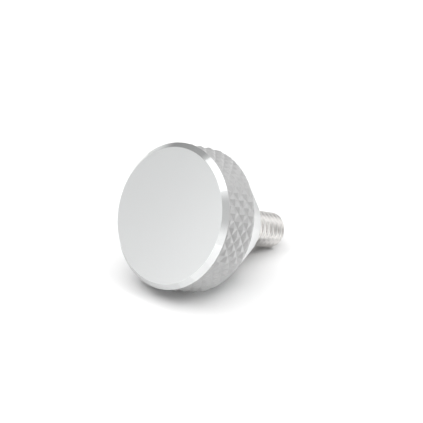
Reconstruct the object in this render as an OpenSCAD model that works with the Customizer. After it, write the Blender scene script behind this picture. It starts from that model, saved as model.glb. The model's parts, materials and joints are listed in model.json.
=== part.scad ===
// Thumb screw: a knurled head with a conical rear, and a threaded stud fixed in it.
// The screw lies on its side, on the rear edge of the knurl and on the tip of the stud.
// +X is the way the stud points, +Z is up, and the origin is under the middle of the screw.
// All sizes are in millimetres.

/* [Head] */
// Diameter over the crests of the knurl
head_d = 15.6; // [14:0.1:20]
// Length from the face to the seating face
head_length = 10.6; // [8:0.1:13]
// Width of the 45 degree chamfer round the face
face_chamfer = 0.57; // [0.3:0.01:1]
// Distance from the face to the start of the rear cone
cone_start = 4.58; // [3.5:0.01:6]
// Diameter of the flat seating face at the rear
seat_d = 8; // [6:0.1:10]

/* [Knurl] */
// Number of diamonds round the head
knurl_count = 32; // [24:1:40]
// Length of one diamond along the axis
knurl_pitch = 1.453; // [1.1:0.001:2]
// Height of the crests above the groove crossings
knurl_depth = 0.14; // [0.1:0.01:0.3]
// Distance from the last row of crests to the start of the rear cone
crest_inset = 0.15; // [0.05:0.01:0.3]
// Width of the plain land between the chamfer and the knurl
land_width = 0.08; // [0.05:0.01:0.3]
// Depth of that land below the crests
land_inset = 0.03; // [0.01:0.01:0.1]

/* [Stud] */
// Major diameter of the thread
thread_d = 4; // [3.6:0.1:5]
// Length of the thread, from the seating face to the tip
thread_length = 7; // [4:0.1:12]
// Diameter of the plain shank that is pressed into the head
shank_d = 3.5; // [2.8:0.1:3.9]
// Depth of the shank in the head
shank_length = 7; // [4:0.1:9]
// Width of the 45 degree chamfer at the tip
tip_chamfer = 0.2; // [0.1:0.05:0.6]

/* [Hidden] */
$fn = 96;

crest_r = head_d / 2;
groove_r = crest_r - knurl_depth;
land_r = crest_r - land_inset;
land_end = face_chamfer - land_inset + land_width;
seat_r = seat_d / 2;
thread_r = thread_d / 2;
shank_r = shank_d / 2;
shank_end = head_length - shank_length;
tip_end = head_length + thread_length;

// How far the turning blank and the knurled bar reach past what they cut
overrun = 0.5;

// Knurl lattice: crests and groove crossings take turns along and round the head.
columns = 2 * knurl_count;
column_step = 360 / columns;
row_step = knurl_pitch / 2;
last_row = cone_start - crest_inset;

// Ridges fall at ridge_slope from each crest, and the rear cone at cone_slope.
ridge_slope = knurl_depth / row_step;
cone_slope = (crest_r - seat_r) / (head_length - cone_start);

// Rows that reach past the face, and past the place where the cone is as deep as the crossings
rows_before = ceil((last_row + overrun) / row_step);
rows_after = ceil((crest_inset + knurl_depth / cone_slope) / row_step);
row_count = rows_before + rows_after + 2;

// Where the cone meets the ridge behind a crest of the last row ...
crest_edge = last_row + crest_inset * cone_slope / (cone_slope - ridge_slope);
crest_edge_r = crest_r - ridge_slope * (crest_edge - last_row);
// ... and where it meets the ridge behind a groove crossing of that row
cross_edge = last_row + (knurl_depth + crest_inset * cone_slope) / (cone_slope + ridge_slope);
cross_edge_r = groove_r + ridge_slope * (cross_edge - last_row);

// The screw rests on one edge point of each kind and on the rim of the tip. Seen from that rim,
// both points are equally steep at crest_angle, the roll from the lowest line to the crest.
tip_rim = tip_end - tip_chamfer;
crest_reach = tip_rim - crest_edge;
cross_reach = tip_rim - cross_edge;
roll_x = crest_edge_r / crest_reach - cross_edge_r / cross_reach * cos(column_step);
roll_y = cross_edge_r / cross_reach * sin(column_step);
thread_share = (thread_r / crest_reach - thread_r / cross_reach) / norm([roll_x, roll_y]);
crest_angle = max(0, min(column_step, acos(thread_share) - atan2(roll_y, roll_x)));
crest_steepness = (crest_edge_r * cos(crest_angle) - thread_r) / crest_reach;
cross_steepness = (cross_edge_r * cos(column_step - crest_angle) - thread_r) / cross_reach;
rest_tilt = atan(max(crest_steepness, cross_steepness));

// Place of the face's middle, which brings the lying screw onto the origin
rest_z = tip_rim * sin(rest_tilt) + thread_r * cos(rest_tilt);
face_x = -(crest_r - face_chamfer) * sin(rest_tilt);
tip_x = tip_end * cos(rest_tilt) + (thread_r - tip_chamfer) * sin(rest_tilt);
rest_x = -(face_x + tip_x) / 2;

// Lays down what is drawn along +Z from the middle of the face, with local +X downwards
module lay_down() {
    translate([rest_x, 0, rest_z])
        rotate([0, 90 + rest_tilt, 0])
            children();
}

// Distance of a lattice row from the face; the last row is the bar's end
function row_z(row) =
    row == row_count - 1 ? head_length + overrun : last_row + (row - rows_before) * row_step;

// Crests where row and column are both even or both odd, counted from the last row of crests;
// the bar's end repeats the row before it
function row_parity(row) = (row == row_count - 1 ? row - 1 : row) - rows_before;
function is_crest(row, column) = (row_parity(row) + column) % 2 == 0;

function lattice_point(row, column) =
    let (r = is_crest(row, column) ? crest_r : groove_r, angle = column * column_step + crest_angle)
    [r * cos(angle), r * sin(angle), row_z(row)];

function point_index(row, column) = row * columns + column % columns;

// Two facets to a cell, split along the groove between its two crossings
function cell_facets(row, column) =
    let (
        a = point_index(row, column),
        b = point_index(row, column + 1),
        c = point_index(row + 1, column + 1),
        d = point_index(row + 1, column)
    )
    is_crest(row, column) ? [[a, d, b], [b, d, c]] : [[a, d, c], [a, c, b]];

// Round bar with a diamond knurl along it
module knurled_bar() {
    points = [
        for (row = [0 : row_count - 1], column = [0 : columns - 1]) lattice_point(row, column)
    ];
    facets = [
        for (row = [0 : row_count - 2], column = [0 : columns - 1])
            for (facet = cell_facets(row, column)) facet
    ];
    front_cap = [for (column = [0 : columns - 1]) point_index(0, column)];
    rear_cap = [for (column = [columns - 1 : -1 : 0]) point_index(row_count - 1, column)];
    polyhedron(points, concat([front_cap], facets, [rear_cap]));
}

// Outline that the head is turned to; it passes clear of the knurl's crests
module turned_blank() {
    blank_r = crest_r + overrun;
    rotate_extrude()
        polygon([
            [0, 0],
            [crest_r - face_chamfer, 0],
            [blank_r, face_chamfer + overrun],
            [blank_r, cone_start - overrun / cone_slope],
            [seat_r, head_length],
            [0, head_length]
        ]);
}

// Knurled head with a plain land at its chamfer and the blind hole that holds the stud
module head() {
    color("gainsboro")
        lay_down()
            difference() {
                intersection() {
                    turned_blank();
                    union() {
                        knurled_bar();
                        cylinder(h = land_end, r = land_r);
                    }
                }
                translate([0, 0, shank_end])
                    cylinder(h = shank_length + overrun, d = shank_d);
            }
}

// Stud with a plain shank in the head, and its thread at the major diameter beyond it
module stud() {
    color("silver")
        lay_down()
            rotate_extrude()
                polygon([
                    [0, shank_end],
                    [shank_r, shank_end],
                    [shank_r, head_length],
                    [thread_r, head_length],
                    [thread_r, tip_rim],
                    [thread_r - tip_chamfer, tip_end],
                    [0, tip_end]
                ]);
}

head();
stud();
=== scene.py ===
"""Looks of the thumb screw: a knurled aluminium head on a threaded steel stud, lying on a pale floor.

Both pieces are drawn upright in millimetres, with +Z from the middle of the face to the tip, as a
turner would dimension them. LAY_DOWN then scales them to metres and lays them where the CAD model
lies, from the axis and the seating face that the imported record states.
"""

import json
import math

import bpy
from mathutils import Matrix, Vector


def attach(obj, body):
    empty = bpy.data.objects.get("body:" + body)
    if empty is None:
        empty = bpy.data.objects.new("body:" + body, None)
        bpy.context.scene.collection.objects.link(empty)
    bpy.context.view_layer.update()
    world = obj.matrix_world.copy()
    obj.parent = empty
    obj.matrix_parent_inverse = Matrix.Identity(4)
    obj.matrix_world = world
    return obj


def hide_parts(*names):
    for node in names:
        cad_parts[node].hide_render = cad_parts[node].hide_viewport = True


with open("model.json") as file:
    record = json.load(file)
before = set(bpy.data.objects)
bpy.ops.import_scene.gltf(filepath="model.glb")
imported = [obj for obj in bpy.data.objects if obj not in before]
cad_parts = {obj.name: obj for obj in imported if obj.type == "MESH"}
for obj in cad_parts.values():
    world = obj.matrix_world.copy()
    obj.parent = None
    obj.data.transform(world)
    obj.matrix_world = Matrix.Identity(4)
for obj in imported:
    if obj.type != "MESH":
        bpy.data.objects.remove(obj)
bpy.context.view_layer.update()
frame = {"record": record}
mounts = {mount["name"]: mount for mount in frame["record"]["mounts"]}

MM = 0.001

# Head, in millimetres
HEAD_R = 7.8
HEAD_LENGTH = 10.6
FACE_CHAMFER = 0.57
CONE_START = 4.58
SEAT_R = mounts["seat"]["dims"]["r_mm"]
EDGE_ROUND = 0.05
KNURL_COUNT = 32
KNURL_PITCH = 1.453
KNURL_DEPTH = 0.14
CREST_INSET = 0.15
CREST_ANGLE = math.radians(3.75)  # From the head's lowest line to a crest, as the CAD model lies
LAND_WIDTH = 0.08
LAND_INSET = 0.03

# Stud, in millimetres
THREAD_R = mounts["thread"]["dims"]["r_mm"]
THREAD_LENGTH = 7.0
THREAD_PITCH = 0.7
THREAD_PHASE = math.radians(200)
CREST_ROUND = 0.03
ROOT_ROUND = 0.14434 * THREAD_PITCH
TIP_CHAMFER = 0.2
SHANK_R = 1.75
SHANK_LENGTH = 7.0
TIP = HEAD_LENGTH + THREAD_LENGTH

# Steps round a turned shape and round the thread, and how far a cutting shape reaches past its cut
TURNED_STEPS = 384
THREAD_STEPS = 144
OVER = 0.5


def lay_down_matrix():
    """Takes the upright drawing to the part's frame: its +Z along the screw, its +X downwards."""
    along = Vector(mounts["seat"]["axis"]).normalized()
    across = Vector((0, 1, 0))
    down = across.cross(along)
    face = Vector(mounts["seat"]["pos_m"]) - along * HEAD_LENGTH * MM
    turn = Matrix((down, across, along)).transposed().to_4x4()
    return Matrix.Translation(face) @ turn @ Matrix.Scale(MM, 4)


LAY_DOWN = lay_down_matrix()


# ---------------------------------------------------------------- shapes


def mesh_object(name, points, faces):
    mesh = bpy.data.meshes.new(name)
    mesh.from_pydata(points, [], faces)
    mesh.update()
    piece = bpy.data.objects.new(name, mesh)
    bpy.context.scene.collection.objects.link(piece)
    return piece


def rounded(outline, radii, steps=3):
    """The outline with an arc of the given radius at each corner; radius 0 keeps the corner."""
    points = []
    for i, (corner, radius) in enumerate(zip(outline, radii)):
        if radius == 0:
            points.append(corner)
            continue
        here = Vector(corner)
        back = (Vector(outline[i - 1]) - here).normalized()
        ahead = (Vector(outline[(i + 1) % len(outline)]) - here).normalized()
        half = back.angle(ahead) / 2
        centre = here + (back + ahead).normalized() * radius / math.sin(half)
        first = here + back * radius / math.tan(half) - centre
        last = here + ahead * radius / math.tan(half) - centre
        for step in range(steps + 1):
            spoke = first.slerp(last, step / steps).normalized() * radius
            points.append(tuple(centre + spoke))
    return points


def turned(name, outline, steps=TURNED_STEPS):
    """Solid turned from an outline of (radius, height) points, from the bottom's rim to the top's."""
    points = []
    for radius, height in outline:
        for i in range(steps):
            angle = math.tau * i / steps
            points.append((radius * math.cos(angle), radius * math.sin(angle), height))
    faces = [tuple(range(steps - 1, -1, -1))]
    for row in range(len(outline) - 1):
        low = row * steps
        high = low + steps
        for i in range(steps):
            j = (i + 1) % steps
            faces.append((low + i, low + j, high + j, high + i))
    top = (len(outline) - 1) * steps
    faces.append(tuple(range(top, top + steps)))
    return mesh_object(name, points, faces)


def apply_modifiers(piece):
    evaluated = piece.evaluated_get(bpy.context.evaluated_depsgraph_get())
    result = bpy.data.meshes.new_from_object(evaluated)
    piece.modifiers.clear()
    piece.data = result


def boolean(piece, other, operation):
    """Cuts, joins or intersects piece with other, which is used up."""
    modifier = piece.modifiers.new(operation, "BOOLEAN")
    modifier.operation = operation
    modifier.solver = "MANIFOLD"
    modifier.object = other
    apply_modifiers(piece)
    bpy.data.objects.remove(other)


def knurled_bar():
    """Round bar with a diamond knurl: crests and groove crossings take turns along and round it."""
    columns = 2 * KNURL_COUNT
    last_row = CONE_START - CREST_INSET
    rows_before = math.ceil((last_row + OVER) / (KNURL_PITCH / 2))
    rows_after = 1
    rows = list(range(-rows_before, rows_after + 1))
    heights = [last_row + row * KNURL_PITCH / 2 for row in rows] + [HEAD_LENGTH + OVER]
    rows.append(rows_after)
    points = []
    for row, height in zip(rows, heights):
        for column in range(columns):
            radius = HEAD_R - KNURL_DEPTH * ((row + column) % 2)
            angle = math.tau * column / columns + CREST_ANGLE
            points.append((radius * math.cos(angle), radius * math.sin(angle), height))
    faces = [tuple(range(columns - 1, -1, -1))]
    for i, row in enumerate(rows[:-1]):
        for column in range(columns):
            a = i * columns + column
            b = i * columns + (column + 1) % columns
            c, d = b + columns, a + columns
            if (row + column) % 2 == 0:
                faces += [(a, b, d), (b, c, d)]
            else:
                faces += [(a, b, c), (a, c, d)]
    top = (len(rows) - 1) * columns
    faces.append(tuple(range(top, top + columns)))
    return mesh_object("knurled_bar", points, faces)


def make_head():
    """Knurled bar turned to the chamfer, the land and the rear cone, with a blind hole for the stud."""
    slope = (HEAD_R - SEAT_R) / (HEAD_LENGTH - CONE_START)
    land_r = HEAD_R - LAND_INSET
    land_end = FACE_CHAMFER - LAND_INSET + LAND_WIDTH
    outline = [
        (HEAD_R - FACE_CHAMFER, 0),
        (HEAD_R + OVER, FACE_CHAMFER + OVER),
        (HEAD_R + OVER, CONE_START - OVER / slope),
        (SEAT_R, HEAD_LENGTH),
    ]
    closed = [(0, 0)] + outline + [(0, HEAD_LENGTH)]
    rounds = [0, EDGE_ROUND, 0, 0, EDGE_ROUND, 0]
    head = turned("knurled_head", rounded(closed, rounds)[1:-1])
    bar = knurled_bar()
    boolean(bar, turned("land", [(land_r, -OVER), (land_r, land_end)]), "UNION")
    boolean(head, bar, "INTERSECT")
    hole = [(SHANK_R, HEAD_LENGTH - SHANK_LENGTH), (SHANK_R, HEAD_LENGTH + OVER)]
    boolean(head, turned("hole", hole, THREAD_STEPS), "DIFFERENCE")
    return head


def thread_outline():
    """One pitch of an ISO metric thread as (height, radius) points, from the middle of a crest."""
    half_crest = THREAD_PITCH / 16
    flank = math.tan(math.radians(60))
    valley = THREAD_R - (THREAD_PITCH / 2 - half_crest) * flank
    corners = [
        (0, THREAD_R),
        (half_crest, THREAD_R),
        (THREAD_PITCH / 2, valley),
        (THREAD_PITCH - half_crest, THREAD_R),
        (THREAD_PITCH, THREAD_R),
    ]
    return rounded(corners, [0, CREST_ROUND, ROOT_ROUND, CREST_ROUND, 0])[1:-1]


def threaded_rod():
    """Right-hand threaded rod, with its rows of points along the helix and a step at each end."""
    outline = thread_outline()
    turns = range(
        math.floor(HEAD_LENGTH / THREAD_PITCH) - 2, math.ceil(TIP / THREAD_PITCH) + 2
    )
    rows = [(height + turn * THREAD_PITCH, radius) for turn in turns for height, radius in outline]
    steps = THREAD_STEPS
    points = []
    for height, radius in rows:
        for i in range(steps):
            angle = math.tau * i / steps + THREAD_PHASE
            rise = THREAD_PITCH * i / steps
            points.append((radius * math.cos(angle), radius * math.sin(angle), height + rise))

    def point(row, i):
        """Past the last step, a row goes on as the row one turn above it."""
        return row * steps + i if i < steps else (row + len(outline)) * steps

    faces = []
    for row in range(len(rows) - 1):
        for i in range(steps if row + 1 + len(outline) < len(rows) else steps - 1):
            faces.append((point(row, i), point(row, i + 1), point(row + 1, i + 1), point(row + 1, i)))
    top = len(rows) - 1
    low_rim = [point(0, i) for i in range(steps)]
    low_rim += [point(row, 0) for row in range(len(outline), 0, -1)]
    high_rim = [point(top, i) for i in range(steps)]
    high_rim += [point(top - row, steps - 1) for row in range(1, len(outline) + 1)]
    for rim, height in ((low_rim[::-1], rows[0][0]), (high_rim, rows[-1][0])):
        middle = len(points)
        points.append((0, 0, height + THREAD_PITCH / 2))
        for i, corner in enumerate(rim):
            faces.append((middle, corner, rim[(i + 1) % len(rim)]))
    return mesh_object("threaded_rod", points, faces)


def make_stud():
    """Threaded rod cut off at the seating face and chamfered at the tip, on its plain shank."""
    blank_r = THREAD_R + OVER
    reach = blank_r - (THREAD_R - TIP_CHAMFER)
    outline = [(blank_r, HEAD_LENGTH), (blank_r, TIP - reach), (THREAD_R - TIP_CHAMFER, TIP)]
    stud = turned("threaded_stud", outline, THREAD_STEPS)
    boolean(stud, threaded_rod(), "INTERSECT")
    shank = [(SHANK_R, HEAD_LENGTH - SHANK_LENGTH), (SHANK_R, HEAD_LENGTH)]
    boolean(stud, turned("shank", shank, THREAD_STEPS), "UNION")
    return stud


def shade(piece, sharp_angle, flat_facets=()):
    """Smooth shading, weighted by area so that flat faces stay flat up to their rounded rims."""
    piece.data.shade_smooth()
    for facet in flat_facets:
        facet.use_smooth = False
    piece.data.set_sharp_from_angle(angle=math.radians(sharp_angle))
    modifier = piece.modifiers.new("weighted_normals", "WEIGHTED_NORMAL")
    modifier.keep_sharp = True
    apply_modifiers(piece)


# ---------------------------------------------------------------- materials


# Noise gathers round the middle of its range, so this much of it is spread over what it varies
NOISE_RANGE = (0.3, 0.7)


def metal(name, edge=1):
    """Metal, its shader and tree, and the place on it as (x, y, z) of the upright drawing in mm.

    An edge below 1 dims what it reflects at a grazing angle.
    """
    material = bpy.data.materials.new(name)
    material.use_nodes = True
    tree = material.node_tree
    shader = tree.nodes["Principled BSDF"]
    shader.inputs["Metallic"].default_value = 1
    shader.inputs["Specular Tint"].default_value = (edge, edge, edge, 1)
    where = tree.nodes.new("ShaderNodeTexCoord")
    upright = tree.nodes.new("ShaderNodeMapping")
    upright.vector_type = "TEXTURE"
    upright.inputs["Location"].default_value = LAY_DOWN.to_translation()
    upright.inputs["Rotation"].default_value = LAY_DOWN.to_euler()
    upright.inputs["Scale"].default_value = LAY_DOWN.to_scale()
    tree.links.new(where.outputs["Object"], upright.inputs["Vector"])
    return material, shader, tree, upright.outputs["Vector"]


def grain(tree, place, per_mm, stretch=(1, 1, 1)):
    """Noise with a number of grains to the millimetre, finer along the axes that stretch enlarges."""
    scaled = tree.nodes.new("ShaderNodeVectorMath")
    scaled.operation = "MULTIPLY"
    scaled.inputs[1].default_value = stretch
    tree.links.new(place, scaled.inputs[0])
    noise = tree.nodes.new("ShaderNodeTexNoise")
    noise.inputs["Scale"].default_value = per_mm
    tree.links.new(scaled.outputs["Vector"], noise.inputs["Vector"])
    return noise.outputs["Fac"]


def tool_marks(tree, distance, per_mm):
    """Marks left round a turned surface, which change with the distance that the tool has moved."""
    noise = tree.nodes.new("ShaderNodeTexNoise")
    noise.noise_dimensions = "1D"
    noise.inputs["Scale"].default_value = per_mm
    tree.links.new(distance, noise.inputs["W"])
    return noise.outputs["Fac"]


def height_above_face(tree, place):
    split = tree.nodes.new("ShaderNodeSeparateXYZ")
    tree.links.new(place, split.inputs["Vector"])
    return split.outputs["Z"]


def distance_from_axis(tree, place):
    level = tree.nodes.new("ShaderNodeVectorMath")
    level.operation = "MULTIPLY"
    level.inputs[1].default_value = (1, 1, 0)
    tree.links.new(place, level.inputs[0])
    length = tree.nodes.new("ShaderNodeVectorMath")
    length.operation = "LENGTH"
    tree.links.new(level.outputs["Vector"], length.inputs[0])
    return length.outputs["Value"]


def vary_color(tree, shader, noise, color, share):
    """Base colour that the noise makes darker or lighter by a share of itself."""
    ramp = tree.nodes.new("ShaderNodeValToRGB")
    for stop, position, side in zip(ramp.color_ramp.elements, NOISE_RANGE, (-1, 1)):
        stop.position = position
        stop.color = (*(channel * (1 + side * share) for channel in color), 1)
    tree.links.new(noise, ramp.inputs["Fac"])
    tree.links.new(ramp.outputs["Color"], shader.inputs["Base Color"])


def vary_roughness(tree, shader, noise, roughness, reach):
    """Roughness that the noise takes up or down by its reach."""
    ramp = tree.nodes.new("ShaderNodeMapRange")
    ramp.inputs["From Min"].default_value, ramp.inputs["From Max"].default_value = NOISE_RANGE
    ramp.inputs["To Min"].default_value = roughness - reach
    ramp.inputs["To Max"].default_value = roughness + reach
    tree.links.new(noise, ramp.inputs["Value"])
    tree.links.new(ramp.outputs["Result"], shader.inputs["Roughness"])


def engrave(tree, shader, noise, depth):
    """Fine relief from the noise, to a depth in millimetres."""
    bump = tree.nodes.new("ShaderNodeBump")
    bump.inputs["Distance"].default_value = depth * MM
    tree.links.new(noise, bump.inputs["Height"])
    tree.links.new(bump.outputs["Normal"], shader.inputs["Normal"])


def blasted_face():
    """Bead-blasted and anodised aluminium: an even satin with a very fine grain."""
    material, shader, tree, place = metal("blasted_face")
    pits = grain(tree, place, per_mm=6)
    vary_color(tree, shader, pits, color=(0.725, 0.735, 0.735), share=0.008)
    vary_roughness(tree, shader, pits, roughness=0.3, reach=0.02)
    engrave(tree, shader, grain(tree, place, per_mm=14), depth=0.0004)
    return material


def diamond_cut_chamfer():
    """Chamfer cut bright with a diamond, with hair lines round it."""
    material, shader, tree, place = metal("diamond_cut_chamfer")
    lines = tool_marks(tree, height_above_face(tree, place), per_mm=40)
    vary_color(tree, shader, lines, color=(0.765, 0.775, 0.775), share=0.005)
    vary_roughness(tree, shader, lines, roughness=0.08, reach=0.015)
    engrave(tree, shader, lines, depth=0.00005)
    return material


def matt_knurl():
    """Rolled knurl, blasted to an even matt grey; its diamonds are in the mesh."""
    material, shader, tree, place = metal("matt_knurl")
    stains = grain(tree, place, per_mm=3)
    vary_color(tree, shader, stains, color=(0.505, 0.505, 0.505), share=0.025)
    pits = grain(tree, place, per_mm=12)
    vary_roughness(tree, shader, pits, roughness=0.45, reach=0.04)
    engrave(tree, shader, pits, depth=0.001)
    return material


def turned_cone():
    """Satin cone with faint marks round it; at a grazing angle it reflects less than bare metal."""
    material, shader, tree, place = metal("turned_cone", edge=0.85)
    stains = grain(tree, place, per_mm=4)
    vary_color(tree, shader, stains, color=(0.735, 0.745, 0.745), share=0.006)
    marks = tool_marks(tree, height_above_face(tree, place), per_mm=9)
    vary_roughness(tree, shader, marks, roughness=0.4, reach=0.03)
    engrave(tree, shader, marks, depth=0.0006)
    return material


def turned_seat():
    """Seating face and the hole behind it, with rings left by the tool."""
    material, shader, tree, place = metal("turned_seat")
    rings = tool_marks(tree, distance_from_axis(tree, place), per_mm=9)
    vary_color(tree, shader, rings, color=(0.85, 0.855, 0.855), share=0.02)
    vary_roughness(tree, shader, rings, roughness=0.35, reach=0.05)
    engrave(tree, shader, rings, depth=0.001)
    return material


def rolled_steel():
    """Warm grey stainless steel, burnished round the stud where the thread was rolled."""
    material, shader, tree, place = metal("rolled_steel")
    stains = grain(tree, place, per_mm=1.2)
    vary_color(tree, shader, stains, color=(0.7, 0.685, 0.67), share=0.03)
    streaks = grain(tree, place, per_mm=2, stretch=(1, 1, 10))
    vary_roughness(tree, shader, streaks, roughness=0.15, reach=0.03)
    engrave(tree, shader, streaks, depth=0.0004)
    return material


# Finishes of the head, in the order of its material slots
HEAD_FINISHES = {
    "face": blasted_face,
    "chamfer": diamond_cut_chamfer,
    "knurl": matt_knurl,
    "cone": turned_cone,
    "seat": turned_seat,
}
HEAD_PARTS = list(HEAD_FINISHES)

# The least part of a facet's normal that lies along the axis, on a flat end and on a chamfer or cone
FLAT = 0.99
SLOPED = 0.5


def head_part(normal_along, normal_out):
    """The part of the head that a facet belongs to, from its normal along and away from the axis."""
    if normal_along < -FLAT:
        return "face"
    if normal_along > FLAT or normal_out < 0:
        return "seat"
    if normal_along < -SLOPED:
        return "chamfer"
    return "cone" if normal_along > SLOPED else "knurl"


def finish_head(head):
    """Gives each facet of the head, still upright, the finish of the part it belongs to."""
    head.data.materials.clear()
    for finish in HEAD_FINISHES.values():
        head.data.materials.append(finish())
    for facet in head.data.polygons:
        out = Vector((facet.center.x, facet.center.y, 0)).normalized()
        part = head_part(facet.normal.z, facet.normal.dot(out))
        facet.material_index = HEAD_PARTS.index(part)


def knurl_facets(head):
    knurl = HEAD_PARTS.index("knurl")
    return [facet for facet in head.data.polygons if facet.material_index == knurl]


# ---------------------------------------------------------------- stage

# Directions are an azimuth and an elevation in degrees; azimuth 0 is -Y, and 90 is +X. Lengths are
# in metres, unless a comment says otherwise.

# The camera stands in this direction from its aim; its lens is in millimetres
CAMERA_AIM = Vector((-0.431, 0.024, 7.258)) * MM
CAMERA_DISTANCE = 189.474 * MM
CAMERA_AZIMUTH = -45.791
CAMERA_ELEVATION = 24.463
CAMERA_ROLL = -0.42
CAMERA_LENS = 150.14

FLOOR_RADIUS = 0.3
FLOOR_DEPTH = 0.001
FLOOR_GREY = 0.85
PAINT_ROUGHNESS = 0.9

# Round softbox overhead, and a wider light beside it that shows in no reflection
OVERHEAD_HEIGHT = 0.8
FRONT_AZIMUTH = -28
SOFTBOX_OFFSET = 0.155 * OVERHEAD_HEIGHT
SOFTBOX_RADIUS = 0.42 * OVERHEAD_HEIGHT
SOFTBOX_RADIANCE = 0.4
FLOOR_LIGHT_AZIMUTH = -50
FLOOR_LIGHT_OFFSET = 0.3 * OVERHEAD_HEIGHT
FLOOR_LIGHT_RADIUS = 0.9 * OVERHEAD_HEIGHT
FLOOR_LIGHT_RADIANCE = 3.9

# Low light from the left of the camera, which keeps the shadow under the head open. It shows in no
# reflection either.
FILL_AZIMUTH = -60
FILL_ELEVATION = 20
FILL_DISTANCE = 0.8
FILL_RADIUS = 0.4
FILL_RADIANCE = 1.9

# Walls that light nothing: they show only in reflections and behind the floor. They fade up from a
# bright horizon between the elevations of HORIZON_FADE, and grow darker from FRONT_AZIMUTH to the back.
WALL_BACK = 0.35
WALL_FRONT = 0.71
HORIZON_BACK = 0.84
HORIZON_FRONT = 1.18
HORIZON_FADE = (7, 27)

# Round glows as (azimuth, elevation, spread in degrees, radiance); a negative radiance darkens.
# WALL_GLOWS lie on the walls only, and GLOWS over the horizon as well.
WALL_GLOWS = {
    "right": (66, 20, 29, 0.6),
    "left": (-76, 42, 15, 0.58),
}
GLOWS = {
    "halo": (-28, 81, 17, 0.65),
    "key": (30, 45, 22, 0.3),
    "right_low": (106, 9, 19, 0.45),
    "gap": (24, -2, 18, -0.5),
    "back_left": (-162, 50, 12, 0.5),
    "side_gap": (-118, 64, 11, -0.12),
}

# Bright square cards near the screw that show only in reflections, in millimetres: one stands on the
# left and faces the screw, and the others lie on the floor and face up
LEFT_CARD = {"azimuth": -100, "elevation": 12, "distance": 70, "side": 60, "radiance": 0.42}
FLOOR_CARDS = {
    "right_card": {"place": (11, -11.5, 0.1), "side": 20, "radiance": 0.3},
    "under_card": {"place": (-4.5, -4.2, 0.1), "side": 5, "radiance": 0.12},
}

# Grey sheets of painted shade just above the floor, which cast no shadow and show only in reflections:
# there they darken what the chamfer, the knurl and the underside reflect of the floor, as (grey,
# corners in millimetres)
SHADE_SHEET_HEIGHT = 0.1
SHADE_SHEETS = {
    "right_flag": (0.37, ((-14, -14), (1, -14), (40, -60), (0, -80))),
    "far_flag": (0.81, ((-34, -24), (-90, -70), (-70, -96), (-15, -12))),
    "front_flag": (
        0.77,
        ((-34, 16), (-34, -24), (-15, -12), (-9, -12), (-10, -8), (-15, -5), (-18, 16)),
    ),
    "middle_flag": (0.7, ((-15, -5), (-10, -8), (-9, -4.5), (-15.5, -1.5))),
    "near_flag": (0.63, ((-15.5, -1.5), (-9, -4.5), (-7, 2), (-4, 16), (-18, 16))),
    "rear_flag": (0.3, ((12, 4), (26, 3), (34, 24), (14, 20))),
}


def heading(azimuth):
    """Level direction at an azimuth."""
    return Vector((math.sin(math.radians(azimuth)), -math.cos(math.radians(azimuth)), 0))


def towards(azimuth, elevation):
    """Direction at an azimuth and an elevation."""
    lift = math.radians(elevation)
    return heading(azimuth) * math.cos(lift) + Vector((0, 0, math.sin(lift)))


def make_camera():
    back = towards(CAMERA_AZIMUTH, CAMERA_ELEVATION)
    data = bpy.data.cameras.new("camera")
    data.lens = CAMERA_LENS
    data.clip_start = MM
    camera = bpy.data.objects.new("camera", data)
    bpy.context.scene.collection.objects.link(camera)
    look = (-back).to_track_quat("-Z", "Y").to_matrix()
    roll = Matrix.Rotation(math.radians(CAMERA_ROLL), 3, "Z")
    place = CAMERA_AIM + back * CAMERA_DISTANCE
    camera.matrix_world = Matrix.Translation(place) @ (look @ roll).to_4x4()
    bpy.context.scene.camera = camera


def paint(name, grey):
    material = bpy.data.materials.new(name)
    material.use_nodes = True
    shader = material.node_tree.nodes["Principled BSDF"]
    shader.inputs["Base Color"].default_value = (grey, grey, grey, 1)
    shader.inputs["Roughness"].default_value = PAINT_ROUGHNESS
    return material


def make_floor():
    floor = turned("floor", [(FLOOR_RADIUS, -FLOOR_DEPTH), (FLOOR_RADIUS, 0)], steps=64)
    floor.data.materials.append(paint("pale_floor", FLOOR_GREY))


# Painted shade: grey sheets that only reflections see, casting no shadow
def make_shade_sheets():
    for name, (grey, corners) in SHADE_SHEETS.items():
        points = [Vector((*corner, SHADE_SHEET_HEIGHT)) * MM for corner in corners]
        shade_sheet = mesh_object(name, points, [range(len(points))])
        shade_sheet.data.materials.append(paint(name, grey))
        shade_sheet.visible_camera = False
        shade_sheet.visible_diffuse = False
        shade_sheet.visible_shadow = False


def make_light(name, shape, size, radiance, place, aim):
    """Area light of a size in metres that sends out the given radiance."""
    data = bpy.data.lights.new(name, "AREA")
    data.shape = shape
    data.size = size
    area = size**2 * (math.pi / 4 if shape == "DISK" else 1)
    data.energy = radiance * math.pi * area
    light = bpy.data.objects.new(name, data)
    light.location = place
    light.rotation_euler = (aim - place).to_track_quat("-Z", "Y").to_euler()
    light.visible_camera = False
    bpy.context.scene.collection.objects.link(light)
    return light


def make_overhead_light(name, azimuth, offset, radius, radiance):
    """Round light that faces straight down, its middle set off from the screw along an azimuth."""
    below = heading(azimuth) * offset
    above = below + Vector((0, 0, OVERHEAD_HEIGHT))
    return make_light(name, "DISK", 2 * radius, radiance, above, below)


def make_lights():
    make_overhead_light(
        "softbox", FRONT_AZIMUTH, SOFTBOX_OFFSET, SOFTBOX_RADIUS, SOFTBOX_RADIANCE
    )
    floor_light = make_overhead_light(
        "floor_light",
        FLOOR_LIGHT_AZIMUTH,
        FLOOR_LIGHT_OFFSET,
        FLOOR_LIGHT_RADIUS,
        FLOOR_LIGHT_RADIANCE,
    )
    floor_light.visible_glossy = False
    place = towards(FILL_AZIMUTH, FILL_ELEVATION) * FILL_DISTANCE
    fill = make_light("front_fill", "DISK", 2 * FILL_RADIUS, FILL_RADIANCE, place, Vector())
    fill.visible_glossy = False


def make_card(name, card, place, aim):
    """Square light that shows only in reflections."""
    light = make_light(name, "SQUARE", card["side"] * MM, card["radiance"], place, aim)
    light.visible_diffuse = False


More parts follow.
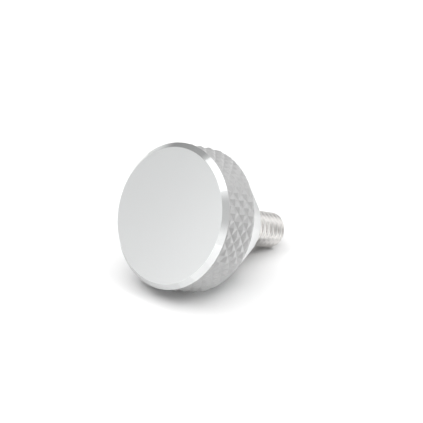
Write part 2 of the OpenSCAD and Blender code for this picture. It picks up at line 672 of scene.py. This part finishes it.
def make_cards():
    distance = LEFT_CARD["distance"] * MM
    left = CAMERA_AIM + towards(LEFT_CARD["azimuth"], LEFT_CARD["elevation"]) * distance
    make_card("left_card", LEFT_CARD, left, CAMERA_AIM)
    for name, card in FLOOR_CARDS.items():
        place = Vector(card["place"]) * MM
        make_card(name, card, place, place + Vector((0, 0, 1)))


def make_world():
    """Walls, horizon and glows, which light nothing but show in reflections."""
    world = bpy.data.worlds.new("studio")
    world.use_nodes = True
    tree = world.node_tree
    where = tree.nodes.new("ShaderNodeTexCoord")
    split = tree.nodes.new("ShaderNodeSeparateXYZ")
    tree.links.new(where.outputs["Generated"], split.inputs["Vector"])
    dot = tree.nodes.new("ShaderNodeVectorMath")
    dot.operation = "DOT_PRODUCT"
    dot.inputs[1].default_value = heading(FRONT_AZIMUTH)
    tree.links.new(where.outputs["Generated"], dot.inputs[0])

    def ramp(value, start, end, low, high, kind="LINEAR"):
        """Maps value from start..end onto low..high, each of which may be a number or a socket."""
        node = tree.nodes.new("ShaderNodeMapRange")
        node.interpolation_type = kind
        tree.links.new(value, node.inputs["Value"])
        for name, number in zip(("From Min", "From Max", "To Min", "To Max"), (start, end, low, high)):
            if isinstance(number, (int, float)):
                node.inputs[name].default_value = number
            else:
                tree.links.new(number, node.inputs[name])
        return node.outputs["Result"]

    def glow(level, azimuth, elevation, spread, radiance):
        """Adds a round glow that falls off smoothly from its middle to nothing at twice its spread."""
        near = tree.nodes.new("ShaderNodeVectorMath")
        near.operation = "DOT_PRODUCT"
        near.inputs[1].default_value = towards(azimuth, elevation)
        tree.links.new(where.outputs["Generated"], near.inputs[0])
        reach = math.cos(math.radians(min(180, 2 * spread)))
        fall = ramp(near.outputs["Value"], reach, 1, 0, radiance, "SMOOTHSTEP")
        total = tree.nodes.new("ShaderNodeMath")
        total.operation = "ADD"
        tree.links.new(level, total.inputs[0])
        tree.links.new(fall, total.inputs[1])
        return total.outputs["Value"]

    low, high = (math.sin(math.radians(angle)) for angle in HORIZON_FADE)
    wall = ramp(dot.outputs["Value"], -1, 1, WALL_BACK, WALL_FRONT)
    horizon = ramp(dot.outputs["Value"], -1, 1, HORIZON_BACK, HORIZON_FRONT)
    for numbers in WALL_GLOWS.values():
        wall = glow(wall, *numbers)
    level = ramp(split.outputs["Z"], low, high, horizon, wall, "SMOOTHSTEP")
    for numbers in GLOWS.values():
        level = glow(level, *numbers)
    tree.links.new(level, tree.nodes["Background"].inputs["Strength"])
    tree.nodes["Background"].inputs["Color"].default_value = (1, 1, 1, 1)
    world.cycles_visibility.diffuse = False
    bpy.context.scene.world = world


# ---------------------------------------------------------------- assembly

head = make_head()
finish_head(head)
shade(head, sharp_angle=20, flat_facets=knurl_facets(head))
head.data.transform(LAY_DOWN)
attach(head, "root")
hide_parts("head")

stud = make_stud()
shade(stud, sharp_angle=40)
stud.data.materials.clear()
stud.data.materials.append(rolled_steel())
stud.data.transform(LAY_DOWN)
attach(stud, "root")
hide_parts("stud")

make_camera()
make_floor()
make_shade_sheets()
make_lights()
make_cards()
make_world()
bpy.context.scene.view_settings.view_transform = "Standard"
